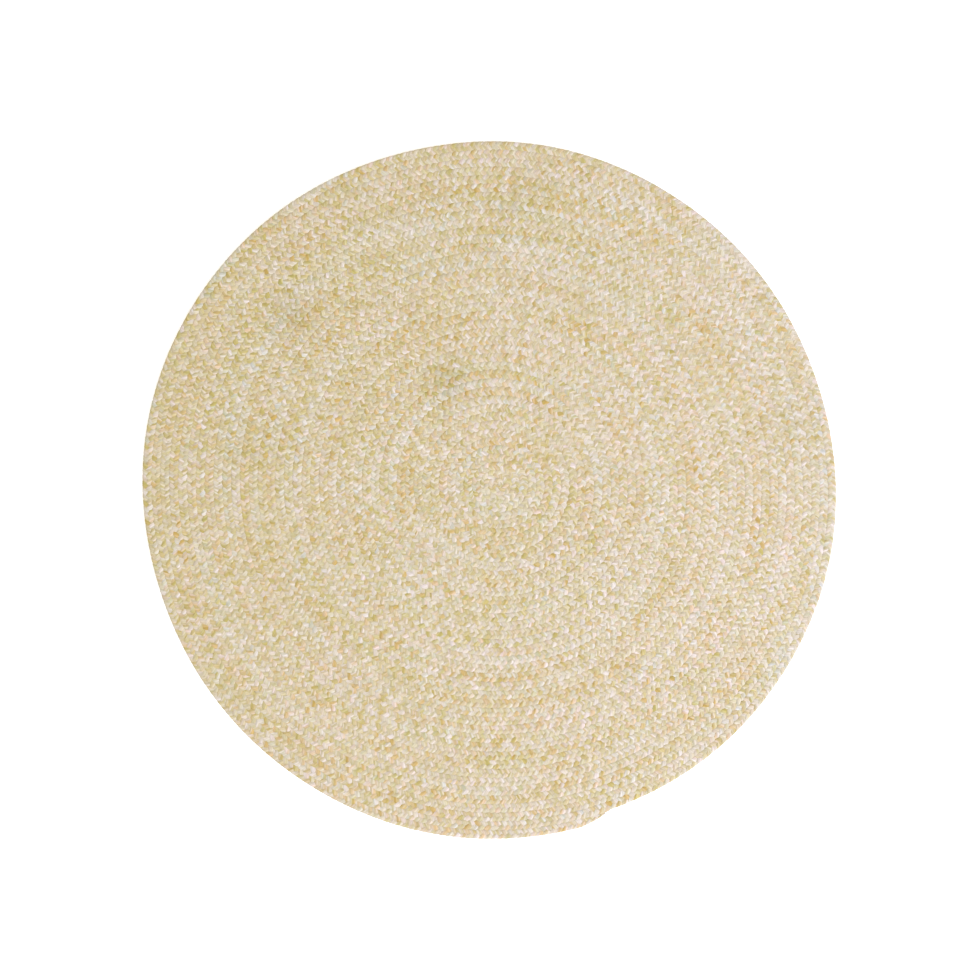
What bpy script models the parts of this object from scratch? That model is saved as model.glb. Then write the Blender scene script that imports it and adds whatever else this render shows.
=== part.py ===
"""Round braided rug: one long flat braid wound outwards in a spiral and sewn row to row.

The rug is one solid. It lies on the plane Z = 0, and the origin is on its underside, under the
middle of its outline. Its top carries the rounded rows of the braid, its edge is the outermost
row, and the braid's tapered end steps off that edge. Metres, +Z up.

A place along the braid is a turn: 0 where the button in the middle ends, ROWS at the tapered end.
"""

import math

import bmesh
import bpy

# Driving dimensions, in metres
RUG_DIAMETER = 1.83  # the mean one: the edge steps in by a row at the braid's end
RUG_THICKNESS = 0.011  # from the floor to the crown of a row
ROW_PITCH = 0.02267  # from one row of braid to the next
SEAM_DEPTH = 0.0035  # from the crown of a row down to the seam beside it
EDGE_UNDERCUT = 0.004  # how far the edge draws in where it meets the floor
EDGE_LOW = 0.0035  # height at which it starts to draw in
TAPER_LENGTH = 0.084  # the stretch in which the braid's end narrows to its tip

# Proportions
CROWN_START = 0.28  # a row's crown, as shares of its width from its inner seam
CROWN_END = 0.72
OUTER_SEAM = 1.0
TAPER_POWER = 0.6  # below 1 keeps the end full, with a blunt nose
TAPER_STATIONS = (1.0, 0.6, 0.25)  # corners along the taper, as shares of it from the tip

# How the braid is wound
ROWS = 41  # whole turns from the button in the middle to the edge
TAIL_ANGLE = math.radians(290)  # where the braid's tip lies, counter-clockwise from +X
TIGHTNESS = 0.0128  # how much less than full rows the innermost ones take up in all
TIGHT_ROWS = 9.4  # the rows over which they ease to the full width
COIL_SHIFT = 0.019  # from the middle of the rug to the middle of its innermost rows
COIL_DIRECTION = math.radians(27)
COIL_OVAL = 0.002  # how much longer than round the first rows are, to either side
OVAL_FADE = 0.2  # the radius over which that fades
OVAL_DIRECTION = math.radians(-12)
FACETS_OF_FIRST_ROW = 9  # wider rows get more, so that every chord keeps as near its arc

# A hand-made rug isn't quite round: (swells round the edge, height of each, angle of one)
UNEVENNESS = (
    (2, 0.0053, math.radians(-45)),
    (4, 0.0021, math.radians(-22)),
    (8, 0.0009, math.radians(-7.5)),
)

# Worked out from the sizes above
RUG_RADIUS = RUG_DIAMETER / 2
TAPER_TURNS = TAPER_LENGTH / (math.tau * RUG_RADIUS)
SEAM_HEIGHT = RUG_THICKNESS - SEAM_DEPTH

WOOL_COLOUR = (0.72, 0.61, 0.42, 1.0)
WOOL_ROUGHNESS = 0.95


def clear_scene():
    for old in list(bpy.data.objects):
        bpy.data.objects.remove(old, do_unlink=True)


def wool_material():
    """Undyed cream and oatmeal yarn, matt all over."""
    material = bpy.data.materials.new("oatmeal_wool")
    material.use_nodes = True
    shader = material.node_tree.nodes["Principled BSDF"]
    shader.inputs["Base Color"].default_value = WOOL_COLOUR
    shader.inputs["Roughness"].default_value = WOOL_ROUGHNESS
    shader.inputs["Metallic"].default_value = 0.0
    return material


def fullness(turn):
    """The braid's width as a share of its full one, which only the taper at its end lacks."""
    return min((ROWS - turn) / TAPER_TURNS, 1.0) ** TAPER_POWER


def coil_radius(turn):
    """The radius of the seam outside the braid that reaches a turn, in an evenly round rug."""
    tightness = TIGHTNESS * math.exp(-turn / TIGHT_ROWS)
    return RUG_RADIUS + ROW_PITCH * (turn - ROWS + 0.5) + tightness


def row_point(turn, across):
    """A point on top of the row that reaches a turn, from 0 at its inner seam to 1 outside."""
    width = fullness(turn)
    angle = TAIL_ANGLE + math.tau * turn
    radius = coil_radius(turn - 1 + across * width)
    shift = COIL_SHIFT * (1 - (radius / RUG_RADIUS) ** 2)
    oval = COIL_OVAL * math.exp(-radius / OVAL_FADE) * math.cos(2 * (angle - OVAL_DIRECTION))
    swell = sum(size * math.cos(count * (angle - peak)) for count, size, peak in UNEVENNESS)
    radius = radius * (1 + swell / RUG_RADIUS) + oval
    x = shift * math.cos(COIL_DIRECTION) + radius * math.cos(angle)
    y = shift * math.sin(COIL_DIRECTION) + radius * math.sin(angle)
    rise = 0.0 if across == OUTER_SEAM else SEAM_DEPTH * width
    return x, y, SEAM_HEIGHT + rise


def stations(first_row):
    """The turns at which a line along the winding gets a corner, from a row to the taper."""
    places = []
    for row in range(first_row, ROWS):
        facets = round(FACETS_OF_FIRST_ROW * math.sqrt(row + 1))
        places += [row + step / facets for step in range(facets)]
    taper = [ROWS - TAPER_TURNS * share for share in TAPER_STATIONS]
    return [place for place in places if place < taper[0] - TAPER_TURNS / 2] + taper


def add_line(solid, across, first_row):
    """The corners of one line along the winding, as pairs of a turn and a corner."""
    return [(turn, solid.verts.new(row_point(turn, across))) for turn in stations(first_row)]


def fill_strip(solid, inner, outer, lead=0):
    """Fills the strip between two lines, always stepping on along the one that is behind.

    The turns of the outer line run ahead of the inner one's by the lead.
    """
    i = 0
    j = 0
    while i + 1 < len(inner) or j + 1 < len(outer):
        start = (inner[i][1], outer[j][1])
        inner_done = i + 1 == len(inner)
        outer_done = j + 1 == len(outer)
        if inner_done or not outer_done and outer[j + 1][0] < inner[i + 1][0] + lead:
            j += 1
            corner = outer[j][1]
        else:
            i += 1
            corner = inner[i][1]
        if corner not in start:
            solid.faces.new((*start, corner))


def fill_button(solid, border):
    """Closes the button in the middle with a fan round its highest point."""
    x = sum(corner.co.x for corner in border) / len(border)
    y = sum(corner.co.y for corner in border) / len(border)
    top = solid.verts.new((x, y, RUG_THICKNESS))
    for corner, following in zip(border, border[1:] + border[:1]):
        solid.faces.new((corner, following, top))


def fill_edge_and_underside(solid, rim):
    """The edge, which draws in towards the floor, and the flat face that the rug lies on."""
    ring = rim
    for height, inset in ((EDGE_LOW, 0.0), (0.0, EDGE_UNDERCUT)):
        lower = []
        for turn, corner in rim[:-1]:
            share = 1 - inset / math.hypot(corner.co.x, corner.co.y)
            place = (corner.co.x * share, corner.co.y * share, height)
            lower.append((turn, solid.verts.new(place)))
        lower.append((ROWS, lower[0][1]))
        fill_strip(solid, ring, lower)
        ring = lower
    solid.faces.new([corner for turn, corner in reversed(ring[:-1])])


def wound_braid():
    """The whole rug as one closed body, with all lines along it ending in the braid's tip."""
    solid = bmesh.new()
    seam = add_line(solid, OUTER_SEAM, 0)
    crown_in = add_line(solid, CROWN_START, 1)
    crown_out = add_line(solid, CROWN_END, 1)
    tip = next(corner for turn, corner in seam if turn == ROWS - 1)
    for line in (seam, crown_in, crown_out):
        line.append((ROWS, tip))

    inner_seam = [place for place in seam if place[0] <= ROWS - 1]
    outer_seam = [place for place in seam if place[0] >= 1]
    fill_strip(solid, inner_seam, crown_in, lead=1)
    fill_strip(solid, crown_in, crown_out)
    fill_strip(solid, crown_out, outer_seam)

    first_turn = [corner for turn, corner in seam if turn <= 1]
    fill_button(solid, first_turn + [crown_out[0][1], crown_in[0][1]])
    fill_edge_and_underside(solid, [place for place in seam if place[0] >= ROWS - 1])
    return solid


def add_rug():
    collection = bpy.data.collections.new("braided_rug")
    bpy.context.scene.collection.children.link(collection)
    mesh = bpy.data.meshes.new("wound_braid")
    solid = wound_braid()
    solid.to_mesh(mesh)
    solid.free()
    mesh.shade_smooth()
    mesh.set_sharp_from_angle(angle=math.radians(50))
    mesh.materials.append(wool_material())
    rug = bpy.data.objects.new("wound_braid", mesh)
    collection.objects.link(rug)


clear_scene()
add_rug()
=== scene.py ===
"""The looks of a round braided rug: three strands of heathered wool, plaited, wound and sewn.

The braid is worked out straight, as it comes off the maker's hands, and is then bent into the
rug's spiral. A place on it is a distance along the braid, a distance to its left, which is
towards the rug's middle, and a height over the floor. Metres, +Z up.
"""

import logging
import math
from dataclasses import dataclass, field
from enum import Enum
from typing import Union

import bpy
import numpy as np
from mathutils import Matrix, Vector


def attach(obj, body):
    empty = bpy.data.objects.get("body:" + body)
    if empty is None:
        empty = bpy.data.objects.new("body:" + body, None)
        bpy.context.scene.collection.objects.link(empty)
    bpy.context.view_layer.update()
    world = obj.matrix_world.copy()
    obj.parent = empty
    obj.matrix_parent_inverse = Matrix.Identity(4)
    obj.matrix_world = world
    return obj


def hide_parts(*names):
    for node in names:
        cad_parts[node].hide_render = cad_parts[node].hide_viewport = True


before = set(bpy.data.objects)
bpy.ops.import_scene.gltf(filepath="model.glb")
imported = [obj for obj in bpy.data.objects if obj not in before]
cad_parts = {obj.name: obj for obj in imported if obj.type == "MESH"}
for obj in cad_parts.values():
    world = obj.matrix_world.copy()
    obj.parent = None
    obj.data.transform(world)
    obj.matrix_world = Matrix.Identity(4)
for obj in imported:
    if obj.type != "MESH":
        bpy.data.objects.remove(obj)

log = logging.getLogger("braided_rug")

Array = np.ndarray
Colour = tuple[float, float, float]
Socket = bpy.types.NodeSocket
Value = Union[bpy.types.NodeSocket, float, tuple[float, ...]]

NODE = "wound_braid"
BODY = "root"
YARN_ATTRIBUTE = "yarn"
BAKE_MAP = "OFBake"


def linear(colour: Colour) -> tuple[float, float, float, float]:
    """Turns a display colour into the linear one that a shader takes.

    Args:
        colour: Red, green and blue, from 0 to 255.

    Returns:
        The linear colour by the usual display curve, with a full alpha.
    """
    parts = [c / 255 for c in colour]
    return (*(p / 12.92 if p <= 0.04045 else ((p + 0.055) / 1.055) ** 2.4 for p in parts), 1.0)


class Tone(Enum):
    """The three strands of the braid, by the yarn that each is bundled from."""

    CREAM = "cream"
    OATMEAL = "oatmeal"
    STRAW = "straw"


class Half(Enum):
    """The two pieces that each strand is made in, from the middle of the rug outwards."""

    INNER = "inner"
    OUTER = "outer"


@dataclass(frozen=True)
class Swell:
    """An unevenness of the hand-made outline, which comes round a number of times."""

    count: int
    height: float
    peak: float  # the angle of one of its crests


@dataclass(frozen=True)
class Waves:
    """Smooth uneven waves along a length of hand work, the same on every run."""

    height: float  # the usual swing of their sum to either side
    shortest: float
    longest: float
    seed: int
    count: int = 7
    unevenness: float = 0.15

    def at(self, along: Array, strand: int = 0) -> Array:
        """Adds the waves up.

        Args:
            along: Distances along the work.
            strand: The strand's number, where each strand has waves of its own.

        Returns:
            The swing at each place.
        """
        rng = np.random.default_rng(self.seed + strand)
        uneven = rng.uniform(1 - self.unevenness, 1 + self.unevenness, self.count)
        lengths = np.geomspace(self.shortest, self.longest, self.count) * uneven
        starts = rng.uniform(0, math.tau, self.count)
        waves = np.sin(along[..., None] * math.tau / lengths + starts)
        return waves.sum(-1) * self.height * math.sqrt(2 / self.count)


@dataclass
class Winding:
    """The spiral in which the braid is wound, row by row, with the sizes of the CAD solid.

    A turn is a place along the winding: 0 where the button in the middle ends, and the number
    of rows at the tip of the braid's end.
    """

    diameter: float = 1.83
    pitch: float = 0.02267
    rows: int = 41
    tail_angle: float = math.radians(290)
    tightness: float = 0.0128  # how much less than full rows the innermost ones take up
    tight_rows: float = 9.4
    coil_shift: float = 0.019
    coil_direction: float = math.radians(27)
    coil_oval: float = 0.002
    oval_start: float = 0.03
    oval_fade: float = 0.2
    oval_direction: float = math.radians(-12)
    taper_length: float = 0.084
    taper_power: float = 0.6
    swells: tuple[Swell, ...] = (
        Swell(2, 0.0053, math.radians(-45)),
        Swell(4, 0.0021, math.radians(-22)),
        Swell(8, 0.0009, math.radians(-7.5)),
    )
    least_radius: float = 0.0004
    first_turn: float = -0.3
    last_share: float = 0.22  # the braid's width where it ends, as a share of its full one
    steps_per_row: int = 600
    radius: float = field(init=False)
    taper_turns: float = field(init=False)
    turns: Array = field(init=False, repr=False)
    distances: Array = field(init=False, repr=False)

    def __post_init__(self) -> None:
        """Measures the braid's length once, as a table of turns against distances."""
        self.radius = self.diameter / 2
        self.taper_turns = self.taper_length / (math.tau * self.radius)
        last = self.rows - self.taper_turns * self.last_share ** (1 / self.taper_power)
        self.turns = np.linspace(self.first_turn, last, self.steps_per_row * self.rows)
        middle = self.middle(self.turns)
        arc = math.tau * (middle[1:] + middle[:-1]) / 2 * np.diff(self.turns)
        steps = np.hypot(arc, np.diff(middle))
        self.distances = np.concatenate([[0.0], np.cumsum(steps)])

    @property
    def length(self) -> float:
        """The length of the whole braid."""
        return float(self.distances[-1])

    def seam(self, turn: Array) -> Array:
        """The radius of the seam outside the row that reaches a turn.

        Args:
            turn: Turns of the winding.

        Returns:
            The radius at each, in an evenly round rug.
        """
        tight = self.tightness * np.exp(-turn / self.tight_rows)
        radius = self.radius + self.pitch * (turn - self.rows + 0.5) + tight
        return np.maximum(radius, 0.0)

    def fullness(self, turn: Array) -> Array:
        """The braid's width as a share of its full one, which the taper at its end lacks."""
        return np.clip((self.rows - turn) / self.taper_turns, 0.0, 1.0) ** self.taper_power

    def width(self, turn: Array) -> Array:
        """The width of the row that reaches a turn, which both ends of the braid lack."""
        return (self.seam(turn) - self.seam(turn - 1)) * self.fullness(turn)

    def middle(self, turn: Array) -> Array:
        """The radius of the middle of a row."""
        return self.seam(turn - 1) + self.width(turn) / 2

    def turn_at(self, along: Array) -> Array:
        """The turn that lies a distance along the braid."""
        return np.interp(along, self.distances, self.turns)

    def bend(self, along: Array, left: Array, height: Array) -> Array:
        """Bends places on the straight braid into the rug.

        Args:
            along: Distances along the braid.
            left: Distances to the left of its middle line, for a braid of full width.
            height: Heights over the floor, for a braid of full thickness.

        Returns:
            Points in the rug's frame, with the coordinates on the last axis.
        """
        turn = self.turn_at(along)
        share = self.width(turn) / self.pitch
        angle = self.tail_angle + math.tau * turn
        radius = np.maximum(self.middle(turn) - left * share, self.least_radius)
        shift = self.coil_shift * (1 - (radius / self.radius) ** 2)
        oval = self.coil_oval * np.exp(-radius / self.oval_fade)
        oval = oval * np.cos(2 * (angle - self.oval_direction))
        oval = oval * np.minimum(radius / self.oval_start, 1)
        swell = sum(s.height * np.cos(s.count * (angle - s.peak)) for s in self.swells)
        radius = radius * (1 + swell / self.radius) + oval
        x = shift * math.cos(self.coil_direction) + radius * np.cos(angle)
        y = shift * math.sin(self.coil_direction) + radius * np.sin(angle)
        thinning = np.sqrt(self.fullness(turn))
        return np.stack([x, y, height * thinning], axis=-1)


class Graph:
    """A material's node tree, with short ways to add what the finishes use."""

    def __init__(self, material: bpy.types.Material) -> None:
        """Keeps the tree of a material that uses nodes."""
        self.tree = material.node_tree

    def link(self, value: Value, socket: Socket) -> None:
        """Feeds a socket.

        Args:
            value: Another socket that feeds it, or the number or tuple that it is set to.
            socket: The socket that is fed.
        """
        if isinstance(value, bpy.types.NodeSocket):
            self.tree.links.new(value, socket)
        else:
            socket.default_value = value

    def add(self, kind: str, inputs: dict | None = None, **settings: object) -> bpy.types.Node:
        """Adds a node.

        Args:
            kind: The node's type.
            inputs: What feeds its sockets, by their names or numbers.
            settings: The node's own settings.

        Returns:
            The new node.
        """
        node = self.tree.nodes.new(kind)
        for name, value in settings.items():
            setattr(node, name, value)
        for name, value in (inputs or {}).items():
            self.link(value, node.inputs[name])
        return node

    def math(self, operation: str, *values: Value) -> Socket:
        """Adds a Math node, whose inputs are fed in order, and returns its result."""
        return self.add("ShaderNodeMath", dict(enumerate(values)), operation=operation).outputs[0]

    def measure(self, operation: str, place: Socket, other: tuple[float, ...]) -> Socket:
        """Adds a Vector Math node that measures one number from a socket and a vector."""
        inputs = {0: place, 1: other}
        return self.add("ShaderNodeVectorMath", inputs, operation=operation).outputs["Value"]

    def vector(self, x: Value, y: Value, z: Value) -> Socket:
        """Joins three sockets or numbers into a vector."""
        return self.add("ShaderNodeCombineXYZ", {"X": x, "Y": y, "Z": z}).outputs[0]

    def noise(self, place: Socket, detail: float = 0.0) -> Socket:
        """Adds soft noise at a place, and returns its value from 0 to 1."""
        inputs = {"Vector": place, "Scale": 1.0, "Detail": detail}
        return self.add("ShaderNodeTexNoise", inputs).outputs[0]

    def tinted(self, colour: Socket, tint: Socket) -> Socket:
        """Multiplies two colours.

        Args:
            colour: One colour.
            tint: The other.

        Returns:
            Their product.
        """
        node = self.add("ShaderNodeMix", data_type="RGBA", blend_type="MULTIPLY")
        factor = next(s for s in node.inputs if s.identifier == "Factor_Float")
        first = next(s for s in node.inputs if s.identifier == "A_Color")
        second = next(s for s in node.inputs if s.identifier == "B_Color")
        for value, socket in ((1.0, factor), (colour, first), (tint, second)):
            self.link(value, socket)
        return next(s for s in node.outputs if s.identifier == "Result_Color")

    def ramp(self, value: Socket, stops: tuple[tuple[float, Colour], ...]) -> Socket:
        """Adds a colour ramp.

        Args:
            value: What picks the colour.
            stops: Pairs of a value and a display colour, in rising order.

        Returns:
            The colour socket.
        """
        node = self.add("ShaderNodeValToRGB", {"Fac": value})
        elements = node.color_ramp.elements
        while len(elements) < len(stops):
            elements.new(0.5)
        for element, (place, colour) in zip(elements, stops):
            element.position = place
            element.color = linear(colour)
        return node.outputs["Color"]


@dataclass(frozen=True)
class Layer:
    """One layer of the heather: soft noise along and round a strand."""

    length: float  # how far along the strand it takes to change
    spread: float  # how much it changes round the strand
    offset: int  # keeps it apart from the other layers
    share: float  # how far it moves the shade or the hue


@dataclass(frozen=True)
class Blotch:
    """A soft round patch of the rug that is browner, or paler where its depth is below 0."""

    x: float
    y: float
    radius: float
    depth: float


class StrandGraph(Graph):
    """The node tree of a strand's wool, which knows where on the strand a point lies."""

    def __init__(self, material: bpy.types.Material, seed: int) -> None:
        """Adds the nodes that read the place on the strand and on the rug.

        Args:
            material: The strand's material.
            seed: Keeps the strand's noise apart from that of the others.
        """
        super().__init__(material)
        yarn = self.add("ShaderNodeAttribute", attribute_name=YARN_ATTRIBUTE).outputs["Vector"]
        self.along, self.cosine, self.sine = self.add(
            "ShaderNodeSeparateXYZ", {"Vector": yarn}
        ).outputs
        self.place = self.add("ShaderNodeTexCoord").outputs["Object"]
        self.seed = seed

    def wrapped(self, along: Socket, spread: float, offset: int, detail: float = 0.0) -> Socket:
        """Adds noise that closes round the strand.

        Args:
            along: The distance along the strand, in waves of the noise.
            spread: How much the noise changes round the strand.
            offset: Keeps it apart from other noise of the same strand.
            detail: How many finer waves lie on it.

        Returns:
            The noise, from 0 to 1.
        """
        place = self.vector(
            along,
            self.math("MULTIPLY_ADD", self.cosine, spread, self.seed + offset),
            self.math("MULTIPLY", self.sine, spread),
        )
        return self.noise(place, detail)

    def layered(self, layer: Layer, base: Value) -> Socket:
        """Adds a layer of the heather to a value.

        Args:
            layer: The layer.
            base: The value that it is added to.

        Returns:
            The sum.
        """
        along = self.math("DIVIDE", self.along, layer.length)
        soft = self.math("SUBTRACT", self.wrapped(along, layer.spread, layer.offset), 0.5)
        return self.math("MULTIPLY_ADD", soft, layer.share, base)


@dataclass(frozen=True)
class Yarn:
    """Heathered wool: a bundle of soft yarns, each flecked in several shades.

    Along a yarn the shade drifts over a hand's length, and short flecks lie over that. The side
    of the rug towards the lamp, at the lower right, is painted a little paler, as painted light,
    and the grooves between the yarns are painted darker, as painted shade. A few soft patches
    are a little browner, and the middle is a little paler.
    """

    tone: Tone
    seed: int
    balance: float = 0.0

    middle_shade: float = 0.5
    drift: Layer = Layer(0.22, 0.6, 100, 0.8)
    lot: Layer = Layer(2.5, 0.1, 500, 0.45)
    patch: Layer = Layer(0.045, 0.7, 200, 0.45)
    middle_hue: float = 0.51
    patch_hue: Layer = Layer(0.045, 0.6, 300, 0.45)
    drift_hue: Layer = Layer(0.22, 0.4, 400, 0.8)
    lot_hue: Layer = Layer(2.5, 0.1, 600, 0.6)
    warming: float = 0.35  # how much warmer the long straw-coloured stretches are

    plies: int = 8
    ply_length: float = 0.02
    ply_spacing: float = 2.0  # wide enough that each yarn of the bundle has flecks of its own
    ply_offset: float = 0.5
    ply_share: float = 0.45
    fleck_share: float = 0.45
    # painted shade: how much darker the grooves between the yarns are painted
    painted_groove_shade: float = 0.12
    fibres_per_metre: float = 220.0
    fibre_spread: float = 16.0
    fibre_detail: float = 3.0
    fibre_share: float = 0.11
    fibre_height: float = 0.5

    # painted light: the side of the rug towards the lamp, at the lower right, is painted paler
    painted_light_share: float = 0.075
    painted_light_direction: float = math.radians(-22)
    blotch_browning: float = 0.9
    # soft round patches that are darker and browner, or paler where their depth is below 0
    blotches: tuple[Blotch, ...] = (
        Blotch(-0.108, 0.281, 0.040, 0.11),
        Blotch(-0.531, 0.453, 0.040, 0.12),
        Blotch(0.077, 0.757, 0.045, 0.05),
        Blotch(0.779, 0.157, 0.060, 0.05),
        Blotch(-0.642, 0.128, 0.050, 0.05),
        Blotch(0.017, 0.009, 0.028, -0.04),
    )

    roughness: float = 0.92
    specular: float = 0.2
    sheen: float = 0.1
    sheen_roughness: float = 0.6
    bump_strength: float = 0.4
    bump_height: float = 0.0004
    shades: tuple[tuple[float, Colour], ...] = (
        (0.10, (170, 154, 93)),
        (0.30, (178, 163, 120)),
        (0.50, (183, 170, 144)),
        (0.70, (189, 177, 164)),
        (0.90, (194, 182, 179)),
    )
    tints: tuple[tuple[float, Colour], ...] = (
        (0.12, (240, 252, 255)),
        (0.28, (250, 255, 251)),
        (0.45, (252, 253, 252)),
        (0.55, (253, 252, 252)),
        (0.70, (255, 247, 247)),
        (0.85, (255, 236, 212)),
    )

    def bundle(self, graph: StrandGraph) -> tuple[Socket, Socket]:
        """Splits the strand into the yarns that it is bundled from.

        Args:
            graph: The strand's node tree.

        Returns:
            The height of a yarn's round back, from 0 in the groove to 1, and its own flecks.
        """
        angle = graph.math("ARCTAN2", graph.sine, graph.cosine)
        ply = graph.math("MULTIPLY", angle, self.plies / math.tau)
        across = graph.math("MULTIPLY_ADD", graph.math("FRACT", ply), 2.0, -1.0)
        ridge = graph.math("SUBTRACT", 1.0, graph.math("MULTIPLY", across, across))
        number = graph.math("FLOOR", ply)
        place = graph.vector(
            graph.math("DIVIDE", graph.along, self.ply_length),
            graph.math("MULTIPLY_ADD", number, self.ply_spacing, self.seed + self.ply_offset),
            0.0,
        )
        return ridge, graph.noise(place)

    def blotching(self, graph: StrandGraph) -> Socket:
        """Adds up how deep the soft patches of the rug go at a place.

        Args:
            graph: The strand's node tree.

        Returns:
            The depth, which is 0 away from them.
        """
        depth = 0.0
        for blotch in self.blotches:
            distance = graph.measure("DISTANCE", graph.place, (blotch.x, blotch.y, 0.0))
            away = graph.math("POWER", graph.math("DIVIDE", distance, blotch.radius), 2.0)
            soft = graph.math("EXPONENT", graph.math("MULTIPLY", away, -0.5))
            depth = graph.math("MULTIPLY_ADD", soft, blotch.depth, depth)
        return depth

    def shade(self, graph: StrandGraph, slow: Socket, flecks: Socket, blotched: Socket) -> Socket:
        """Picks the shade, from straw at 0 to a greyish cream at 1.

        Args:
            graph: The strand's node tree.
            slow: The slow drift of the shade.
            flecks: The flecks of the single yarns.
            blotched: How deep the soft patches go.

        Returns:
            The shade.
        """
        shade = graph.math("ADD", slow, self.middle_shade + self.balance)
        shade = graph.layered(self.patch, shade)
        own = graph.math("SUBTRACT", flecks, 0.5)
        shade = graph.math("MULTIPLY_ADD", own, self.fleck_share, shade)
        # painted light: the shade rises towards the lamp at the lower right, so that side is
        # painted paler
        lamp_side = (math.cos(self.painted_light_direction), math.sin(self.painted_light_direction), 0.0)
        painted_light = graph.measure("DOT_PRODUCT", graph.place, lamp_side)
        shade = graph.math("MULTIPLY_ADD", painted_light, self.painted_light_share, shade)
        return graph.math("MULTIPLY_ADD", blotched, -self.blotch_browning, shade)

    def hue(self, graph: StrandGraph, slow: Socket) -> Socket:
        """Picks the tint, from a greenish one at 0 to peach at 1.

        Args:
            graph: The strand's node tree.
            slow: The slow drift of the shade.

        Returns:
            The hue.
        """
        hue = graph.layered(self.patch_hue, self.middle_hue)
        hue = graph.layered(self.drift_hue, hue)
        hue = graph.layered(self.lot_hue, hue)
        return graph.math("MULTIPLY_ADD", slow, -self.warming, hue)

    def brightness(
        self, graph: StrandGraph, fibre: Socket, ridge: Socket, flecks: Socket, blotched: Socket
    ) -> Socket:
        """Works out how bright the wool is, with painted shade in the grooves between its yarns.

        Args:
            graph: The strand's node tree.
            fibre: The fibres, from 0 to 1.
            ridge: The height of a yarn's back, from 0 to 1.
            flecks: The flecks of the single yarns, from 0 to 1.
            blotched: How deep the soft patches go.

        Returns:
            What the colour is multiplied by.
        """
        value = graph.math("MULTIPLY_ADD", fibre, self.fibre_share * 2, 1 - self.fibre_share)
        # painted shade: darker in the grooves between the yarns, where shade falls
        groove_shadow = graph.math("MULTIPLY_ADD", ridge, self.painted_groove_shade, 1 - self.painted_groove_shade)
        value = graph.math("MULTIPLY", value, groove_shadow)
        value = graph.math("MULTIPLY", value, graph.math("SUBTRACT", 1.0, blotched))
        own = graph.math("MULTIPLY_ADD", flecks, self.ply_share, 1 - self.ply_share / 2)
        return graph.math("MULTIPLY", value, own)

    def material(self) -> bpy.types.Material:
        """Builds the yarn's material.

        Returns:
            A material that reads the mesh's yarn attribute: the distance along the strand,
            and the cosine and sine of the angle round it.
        """
        material = bpy.data.materials.new(f"{self.tone.value}_wool")
        material.use_nodes = True
        graph = StrandGraph(material, self.seed)

        ridge, flecks = self.bundle(graph)
        threads = graph.math("MULTIPLY", graph.along, self.fibres_per_metre)
        fibre = graph.wrapped(threads, self.fibre_spread, 0, self.fibre_detail)
        blotched = self.blotching(graph)
        slow = graph.layered(self.lot, graph.layered(self.drift, 0.0))

        shade = graph.ramp(self.shade(graph, slow, flecks, blotched), self.shades)
        colour = graph.tinted(shade, graph.ramp(self.hue(graph, slow), self.tints))
        value = self.brightness(graph, fibre, ridge, flecks, blotched)
        colour = graph.tinted(colour, graph.vector(value, value, value))
        height = graph.math("MULTIPLY_ADD", fibre, self.fibre_height, ridge)
        bump = graph.add(
            "ShaderNodeBump",
            {"Height": height, "Strength": self.bump_strength, "Distance": self.bump_height},
        )

        shader = material.node_tree.nodes["Principled BSDF"]
        shader.inputs["Roughness"].default_value = self.roughness
        shader.inputs["Specular IOR Level"].default_value = self.specular
        shader.inputs["Sheen Weight"].default_value = self.sheen
        shader.inputs["Sheen Roughness"].default_value = self.sheen_roughness
        graph.link(colour, shader.inputs["Base Color"])
        graph.link(bump.outputs["Normal"], shader.inputs["Normal"])
        return material


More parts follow.
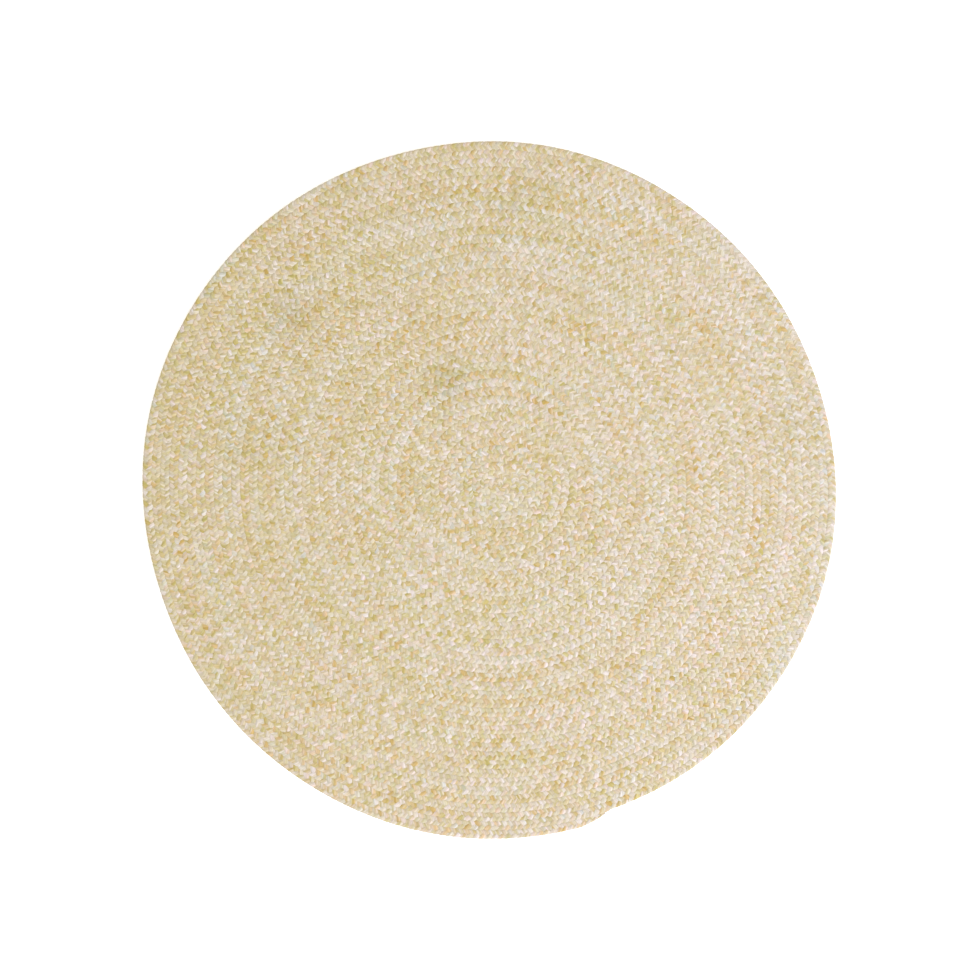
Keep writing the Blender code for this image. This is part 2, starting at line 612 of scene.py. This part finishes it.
@dataclass
class Plait:
    """The flat three-strand braid, worked out straight and bent into the rug.

    Each strand swings from one edge to the other and back once in a repeat, and passes over one
    neighbour and under the other on its way. At an edge it is turned over, and shows narrower
    and thicker there.
    """

    winding: Winding
    strands: int = 3
    thickness: float = 0.011
    repeat: float = 0.0505
    swing: float = 0.0082
    lift: float = 0.0022
    half_width: float = 0.0076
    half_thickness: float = 0.0031
    edge_narrowing: float = 0.0012
    edge_thickening: float = 0.0022
    profile: tuple[tuple[float, float], ...] = (
        (1.0, 0.0), (0.84, 0.8), (0.0, 1.0), (-0.84, 0.8), (-1.0, 0.0), (-0.65, -0.9), (0.65, -0.9),
    )

    squash: float = 0.38  # below 1 flattens the braid's top and underside
    parting: float = 0.25  # lifts the places where the strands meet, towards the top
    arch: float = 0.14  # how much thinner a row is at its seams
    edge_arch: float = 0.45  # the same on the outside of the last row
    free_reach: float = 0.0090  # there, how far out a strand lies before it is drawn in
    full_reach: float = 0.0122  # and how far out it lies at most

    rings_per_repeat: float = 9.5
    crowding: float = 0.006  # the radius of a row in which the rings are twice as close
    crowded_radius: float = 0.005  # below it they get no closer

    uneven_pull: Waves = Waves(0.06, 0.3, 2.5, seed=11)
    uneven_bulk: Waves = Waves(0.04, 0.03, 0.4, seed=12)
    uneven_line: Waves = Waves(0.0003, 0.12, 1.0, seed=16)
    uneven_roll: Waves = Waves(0.5, 0.4, 3.0, seed=20)

    def ring_places(self) -> Array:
        """Where along the braid the strands get a ring, closer together in the tight middle.

        Returns:
            Rising distances along the braid.
        """
        winding = self.winding
        middle = np.maximum(winding.middle(winding.turns), self.crowded_radius)
        per_metre = self.rings_per_repeat / self.repeat * (1 + self.crowding / middle)
        steps = np.diff(winding.distances) * (per_metre[1:] + per_metre[:-1]) / 2
        count = np.concatenate([[0.0], np.cumsum(steps)])
        return np.interp(np.arange(int(count[-1]) + 1), count, winding.distances)

    def phase(self, along: Array, number: int) -> Array:
        """How far a strand is on its way from edge to edge, as an angle."""
        pull = self.uneven_pull.at(along)
        return math.tau * (along / self.repeat + pull + number / self.strands)

    def path(self, along: Array, phase: Array) -> Array:
        """The middle line of a strand on the straight braid.

        Args:
            along: Where along the braid the rings lie.
            phase: How far the strand is on its way from edge to edge.

        Returns:
            A point for each ring.
        """
        side = self.swing * np.sin(phase) + self.uneven_line.at(along)
        rise = -self.lift * np.sin(2 * phase)
        return np.stack([along, side, rise + self.thickness / 2], axis=-1)

    def sections(self, along: Array, path: Array, phase: Array, number: int) -> Array:
        """Sets the strand's cross-section square to its path.

        Args:
            along: Where along the braid the rings lie.
            path: The strand's middle line.
            phase: How far the strand is on its way from edge to edge.
            number: Which of the strands it is.

        Returns:
            The rings' points on the straight braid, as rings by sides by 3.
        """
        slope = np.gradient(path, along, axis=0)
        forward = slope / np.linalg.norm(slope, axis=1, keepdims=True)
        across = np.stack([-forward[:, 1], forward[:, 0], np.zeros(len(along))], axis=-1)
        across /= np.linalg.norm(across, axis=1, keepdims=True)
        up = np.cross(forward, across)

        edge = np.sin(phase) ** 2
        plump = 1 + self.uneven_bulk.at(along, number)
        half_width = (self.half_width - self.edge_narrowing * edge) * plump
        half_thickness = self.half_thickness + self.edge_thickening * edge
        profile = np.array(self.profile)
        aside = half_width[:, None] * profile[:, 0]
        above = half_thickness[:, None] * profile[:, 1]
        return path[:, None] + across[:, None] * aside[..., None] + up[:, None] * above[..., None]

    def trimmed(self, left: Array, turn: Array) -> Array:
        """Draws the strands in on the outside of the last row, where no other row meets them.

        Args:
            left: Distances to the left of the braid's middle line.
            turn: The turns that the row has reached there.

        Returns:
            The same distances, of which none on that side goes beyond the full reach.
        """
        room = self.full_reach - self.free_reach
        over = np.maximum(-left - self.free_reach, 0.0)
        drawn = np.maximum(left, -self.free_reach) - room * (1 - np.exp(-over / room))
        return np.where(turn > self.winding.rows - 1, drawn, left)

    def pressed(self, height: Array, left: Array, turn: Array) -> Array:
        """Presses the strands into one another, as they lie in a tight sewn braid.

        Args:
            height: Heights over the floor as plaited.
            left: Distances to the left of the braid's middle line.
            turn: The turns that the row has reached there.

        Returns:
            The heights in the finished row, from 0 to the rug's thickness.
        """
        level = np.clip(height / self.thickness * 2 - 1, -1.0, 1.0) + self.parting
        room = np.where(level > 0, 1 + self.parting, 1 - self.parting)
        level = np.sign(level) * (np.abs(level) / room) ** self.squash
        outside = (turn > self.winding.rows - 1) & (left < 0)
        arch = np.where(outside, self.edge_arch, self.arch)
        to_seam = np.minimum(np.abs(left) / self.winding.pitch * 2, 1)
        level = level * (1 - arch * to_seam**2)
        return (level + 1) * self.thickness / 2

    def yarn_places(self, along: Array, path: Array, phase: Array, number: int) -> Array:
        """Where on the strand each point lies, for the wool's pattern.

        Args:
            along: Where along the braid the rings lie.
            path: The strand's middle line.
            phase: How far the strand is on its way from edge to edge.
            number: Which of the strands it is.

        Returns:
            The distance along the strand, and the cosine and sine of the angle round it.
        """
        steps = np.linalg.norm(np.diff(path, axis=0), axis=1)
        travelled = np.concatenate([[0.0], np.cumsum(steps)])
        turned_over = -math.pi / 2 * (1 - np.cos(phase))
        rolled = self.uneven_roll.at(along, number)
        profile = np.array(self.profile)
        angle = np.arctan2(profile[:, 1], profile[:, 0]) + (turned_over + rolled)[:, None]
        distance = np.broadcast_to(travelled[:, None], angle.shape)
        return np.stack([distance, np.cos(angle), np.sin(angle)], axis=-1)

    def strand(self, along: Array, number: int) -> tuple[Array, Array]:
        """Works out one strand on the straight braid and bends it into the rug.

        Args:
            along: Where along the braid the rings lie.
            number: Which of the strands it is, from 0.

        Returns:
            The rings' points in the rug's frame, and the yarn attribute of each.
        """
        phase = self.phase(along, number)
        path = self.path(along, phase)
        points = self.sections(along, path, phase, number)
        turn = self.winding.turn_at(along)[:, None]
        narrowing = self.winding.width(turn) / self.winding.pitch
        place = along[:, None] + (points[..., 0] - along[:, None]) * narrowing
        left = self.trimmed(points[..., 1], turn)
        height = self.pressed(points[..., 2], left, turn)
        bent = self.winding.bend(place, left, height)
        return bent, self.yarn_places(along, path, phase, number)


@dataclass
class Tube:
    """A closed tube through rings of points, with its yarn attribute and its bake map.

    Its faces are a row of quads between each ring and the next, side by side, and a fan of
    triangles over each end.
    """

    rings: Array  # rings by sides by 3
    yarn: Array  # the yarn attribute, of the same shape
    map_rows: int = 28
    map_gap: float = 0.03

    def with_ends(self, values: Array) -> Array:
        """The values of all rings in one row, and then those of the middles of both ends."""
        return np.concatenate([values.reshape(-1, 3), values[[0, -1]].mean(axis=1)])

    def faces(self) -> tuple[Array, Array]:
        """Lists the tube's faces.

        Returns:
            The corners of all faces in one row, and how many corners each face has.
        """
        count, sides = self.rings.shape[:2]
        ring, side = np.meshgrid(np.arange(count - 1), np.arange(sides), indexing="ij")
        start = ring * sides
        following = (side + 1) % sides
        quads = np.stack(
            [start + side, start + following, start + sides + following, start + sides + side],
            axis=-1,
        )
        side = np.arange(sides)
        following = (side + 1) % sides
        centre = np.full(sides, count * sides)
        first = np.stack([following, side, centre], axis=-1)
        start = (count - 1) * sides
        last = np.stack([start + side, start + following, centre + 1], axis=-1)
        corners = np.concatenate([quads.ravel(), first.ravel(), last.ravel()])
        sizes = np.concatenate([np.full(quads[..., 0].size, 4), np.full(2 * sides, 3)])
        return corners, sizes

    def bake_map(self) -> Array:
        """Lays the tube out flat, cut along one side, in rows of equally long strips.

        Returns:
            Flat places for the corners of the faces, in the order in which they are listed.
        """
        count, sides = self.rings.shape[:2]
        slots = np.arange(count + 1)[:, None, None]
        side = np.arange(sides)[None, :, None]
        quad = np.array([(0, 0), (0, 1), (1, 1), (1, 0)], float)
        first = np.array([(0, 1), (0, 0), (1, 0.5)], float)
        last = np.array([(0, 0), (0, 1), (1, 0.5)], float)
        per_row = math.ceil((count + 1) / self.map_rows)
        laid = []
        for corners, slot in ((quad, slots[:-2]), (first, slots[-2:-1]), (last, slots[-1:])):
            u = (slot % per_row + corners[:, 0]) / per_row
            across = self.map_gap + (1 - 2 * self.map_gap) * (side + corners[:, 1]) / sides
            v = (slot // per_row + across) / self.map_rows
            laid.append(np.stack(np.broadcast_arrays(u, v), axis=-1).reshape(-1, 2))
        return np.concatenate(laid)

    def build(self, name: str) -> bpy.types.Object:
        """Makes the tube's mesh.

        Args:
            name: The piece's name.

        Returns:
            The new object.
        """
        vertices = self.with_ends(self.rings)
        corners, sizes = self.faces()
        starts = np.concatenate([[0], np.cumsum(sizes)[:-1]])

        mesh = bpy.data.meshes.new(name)
        mesh.vertices.add(len(vertices))
        mesh.vertices.foreach_set("co", vertices.astype(np.float32).ravel())
        mesh.loops.add(len(corners))
        mesh.loops.foreach_set("vertex_index", corners.astype(np.int32))
        mesh.polygons.add(len(sizes))
        mesh.polygons.foreach_set("loop_start", starts.astype(np.int32))
        mesh.update(calc_edges=True)
        mesh.validate()
        mesh.shade_smooth()
        attribute = mesh.attributes.new(YARN_ATTRIBUTE, "FLOAT_VECTOR", "POINT")
        yarn = self.with_ends(self.yarn)
        attribute.data.foreach_set("vector", yarn.astype(np.float32).ravel())
        flat = mesh.uv_layers.new(name=BAKE_MAP)
        flat.data.foreach_set("uv", self.bake_map().astype(np.float32).ravel())
        piece = bpy.data.objects.new(name, mesh)
        bpy.context.scene.collection.objects.link(piece)
        return piece


@dataclass
class Braid:
    """The rug's braid: its three strands, each made in an inner and an outer half."""

    plait: Plait
    finishes: tuple[Yarn, ...] = (
        Yarn(Tone.CREAM, seed=3000, balance=0.06),
        Yarn(Tone.OATMEAL, seed=1000, balance=0.02),
        Yarn(Tone.STRAW, seed=2000, balance=-0.06),
    )

    def dress(self, piece: bpy.types.Object, material: bpy.types.Material) -> None:
        """Gives a piece its wool, and its place in the frame.

        Args:
            piece: Half of a strand.
            material: The strand's material.
        """
        piece.data.materials.append(material)
        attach(piece, BODY)
        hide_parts(NODE)

    def build(self) -> list[bpy.types.Object]:
        """Builds and dresses both halves of every strand.

        Returns:
            The six pieces.
        """
        along = self.plait.ring_places()
        bounds = np.linspace(0, self.plait.winding.length, len(Half) + 1)
        cuts = np.searchsorted(along, bounds)
        cuts[-1] = len(along) - 1
        pieces = []
        for number, finish in enumerate(self.finishes):
            material = finish.material()
            rings, yarn = self.plait.strand(along, number)
            for half, start, end in zip(Half, cuts[:-1], cuts[1:]):
                part = slice(start, end + 1)
                # Each piece measures along itself, as long distances blur the fine fibres
                own = yarn[part] - [yarn[start, 0, 0], 0.0, 0.0]
                tube = Tube(rings[part], own)
                piece = tube.build(f"{finish.tone.value}_strand_{half.value}")
                self.dress(piece, material)
                pieces.append(piece)
        return pieces


@dataclass
class Studio:
    """A plain pale floor, soft light and the camera straight over the rug."""

    frame_pixels: int = 980  # the photograph's frame, which is square
    metres_per_pixel: float = 0.002642
    origin_pixel: tuple[float, float] = (491.5, 488.0)  # where the rug's origin lies in it
    camera_height: float = 5.0
    sensor: float = 36.0  # in millimetres, as lenses are
    floor_size: float = 60.0
    floor_colour: Colour = (0.98, 0.98, 0.98)
    floor_glow: float = 0.15
    sky_colour: Colour = (1.04, 1.0, 0.93)
    sky_strength: float = 1.08
    lamp_size: float = 5.0
    lamp_power: float = 850.0
    lamp_colour: Colour = (0.9, 1.0, 1.15)
    lamp_place: tuple[float, float, float] = (5.2, -4.6, 6.8)

    def floor(self) -> None:
        """Lays the floor, which isn't part of the rug."""
        mesh = bpy.data.meshes.new("floor")
        half = self.floor_size / 2
        corners = [(-half, -half, 0), (half, -half, 0), (half, half, 0), (-half, half, 0)]
        mesh.from_pydata(corners, [], [(0, 1, 2, 3)])
        material = bpy.data.materials.new("floor")
        material.use_nodes = True
        shader = material.node_tree.nodes["Principled BSDF"]
        shader.inputs["Base Color"].default_value = (*self.floor_colour, 1.0)
        shader.inputs["Roughness"].default_value = 1.0
        shader.inputs["Specular IOR Level"].default_value = 0.0
        shader.inputs["Emission Color"].default_value = (1.0, 1.0, 1.0, 1.0)
        shader.inputs["Emission Strength"].default_value = self.floor_glow
        mesh.materials.append(material)
        floor = bpy.data.objects.new("floor", mesh)
        bpy.context.scene.collection.objects.link(floor)

    def light(self) -> None:
        """Sets an even pale sky and one soft lamp from the lower right."""
        world = bpy.data.worlds.new("studio")
        bpy.context.scene.world = world
        world.use_nodes = True
        sky = world.node_tree.nodes["Background"]
        sky.inputs["Color"].default_value = (*self.sky_colour, 1.0)
        sky.inputs["Strength"].default_value = self.sky_strength
        lamp = bpy.data.lights.new("soft_box", "AREA")
        lamp.shape = "SQUARE"
        lamp.size = self.lamp_size
        lamp.energy = self.lamp_power
        lamp.color = self.lamp_colour
        box = bpy.data.objects.new("soft_box", lamp)
        box.location = self.lamp_place
        box.rotation_mode = "QUATERNION"
        box.rotation_quaternion = (-Vector(self.lamp_place)).to_track_quat("-Z", "Y")
        bpy.context.scene.collection.objects.link(box)
        bpy.context.scene.view_settings.view_transform = "Standard"

    def camera(self) -> None:
        """Hangs the camera straight over the middle of the photograph's frame."""
        data = bpy.data.cameras.new("camera")
        data.sensor_width = self.sensor
        width = self.frame_pixels * self.metres_per_pixel
        data.lens = self.sensor * self.camera_height / width
        middle = self.frame_pixels / 2
        x = (middle - self.origin_pixel[0]) * self.metres_per_pixel
        y = (self.origin_pixel[1] - middle) * self.metres_per_pixel
        camera = bpy.data.objects.new("camera", data)
        camera.location = (x, y, self.camera_height)
        bpy.context.scene.collection.objects.link(camera)
        bpy.context.scene.camera = camera

    def build(self) -> None:
        """Builds the floor, the light and the camera."""
        self.floor()
        self.light()
        self.camera()


def main() -> None:
    """Builds the studio and the rug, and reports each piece."""
    logging.basicConfig(level=logging.INFO, format="%(name)s: %(message)s")
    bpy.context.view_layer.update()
    Studio().build()
    winding = Winding()
    log.info("braid of %.1f m", winding.length)
    for piece in Braid(Plait(winding)).build():
        log.info("%s: %d faces", piece.name, len(piece.data.polygons))


if __name__ == "__main__":
    main()
